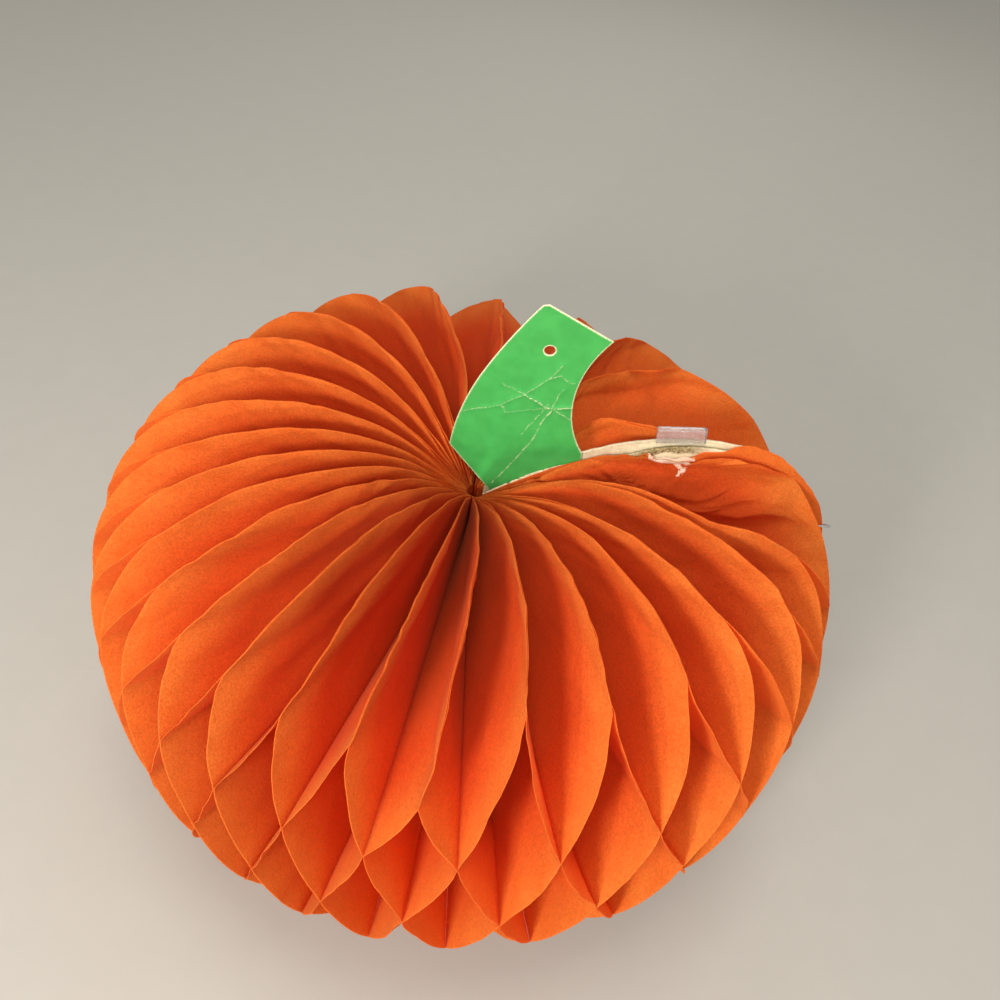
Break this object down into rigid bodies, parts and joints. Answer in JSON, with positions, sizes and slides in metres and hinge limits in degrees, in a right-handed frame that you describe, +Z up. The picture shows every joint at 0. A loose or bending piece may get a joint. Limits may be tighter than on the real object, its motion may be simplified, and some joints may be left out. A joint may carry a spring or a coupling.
{
  "type": "honeycomb paper pumpkin",
  "caption": "Opened honeycomb tissue pumpkin with a flat base, a dimpled crown, card covers at the seam and a curved green card stem with a hanging hole.",
  "frame": {"origin": "on the upright axis of the opened form, at the height it stands on, which is the centre of the bottom of its box", "axes": "+Z up along the axis, -Y towards the camera that took the picture, +X to the right; the seam with the cards and the stem stands 4 degrees round from +X towards +Y"},
  "size_m": [0.2997, 0.2997, 0.23],
  "materials": {
    "orange_tissue": "matt thin tissue that lets light through",
    "pulp_card": "uncoated pale card",
    "green_card": "satin printed card with white creases",
    "clear_plastic": "clear and glossy",
    "wire": "bright drawn wire"
  },
  "bodies": {
    "root": {"back_cover_card": "pulp_card", "front_cover_card": "pulp_card", "plastic_clip": "clear_plastic", "stem_card": "green_card", "tissue_leaf_01": "orange_tissue", "tissue_leaf_02": "orange_tissue", "tissue_leaf_03": "orange_tissue", "tissue_leaf_04": "orange_tissue", "tissue_leaf_05": "orange_tissue", "tissue_leaf_06": "orange_tissue", "tissue_leaf_07": "orange_tissue", "tissue_leaf_08": "orange_tissue", "tissue_leaf_09": "orange_tissue", "tissue_leaf_10": "orange_tissue", "tissue_leaf_11": "orange_tissue", "tissue_leaf_12": "orange_tissue", "tissue_leaf_13": "orange_tissue", "tissue_leaf_14": "orange_tissue", "tissue_leaf_15": "orange_tissue", "tissue_leaf_16": "orange_tissue", "tissue_leaf_17": "orange_tissue", "tissue_leaf_18": "orange_tissue", "tissue_leaf_19": "orange_tissue", "tissue_leaf_20": "orange_tissue", "tissue_leaf_21": "orange_tissue", "tissue_leaf_22": "orange_tissue", "tissue_leaf_23": "orange_tissue", "tissue_leaf_24": "orange_tissue", "tissue_leaf_25": "orange_tissue", "tissue_leaf_26": "orange_tissue", "tissue_leaf_27": "orange_tissue", "tissue_leaf_28": "orange_tissue", "tissue_leaf_29": "orange_tissue", "tissue_leaf_30": "orange_tissue", "tissue_leaf_31": "orange_tissue", "tissue_leaf_32": "orange_tissue", "tissue_leaf_33": "orange_tissue", "tissue_leaf_34": "orange_tissue", "tissue_leaf_35": "orange_tissue", "tissue_leaf_36": "orange_tissue", "tissue_leaf_37": "orange_tissue", "tissue_leaf_38": "orange_tissue", "tissue_leaf_39": "orange_tissue", "tissue_leaf_40": "orange_tissue", "tissue_leaf_41": "orange_tissue", "tissue_leaf_42": "orange_tissue", "tissue_leaf_43": "orange_tissue", "tissue_leaf_44": "orange_tissue", "tissue_leaf_45": "orange_tissue", "tissue_leaf_46": "orange_tissue", "tissue_leaf_47": "orange_tissue", "tissue_leaf_48": "orange_tissue", "tissue_leaf_49": "orange_tissue", "tissue_leaf_50": "orange_tissue", "tissue_leaf_51": "orange_tissue", "tissue_leaf_52": "orange_tissue", "tissue_leaf_53": "orange_tissue", "tissue_leaf_54": "orange_tissue", "wire_clip": "wire"}
  },
  "joints": []
}
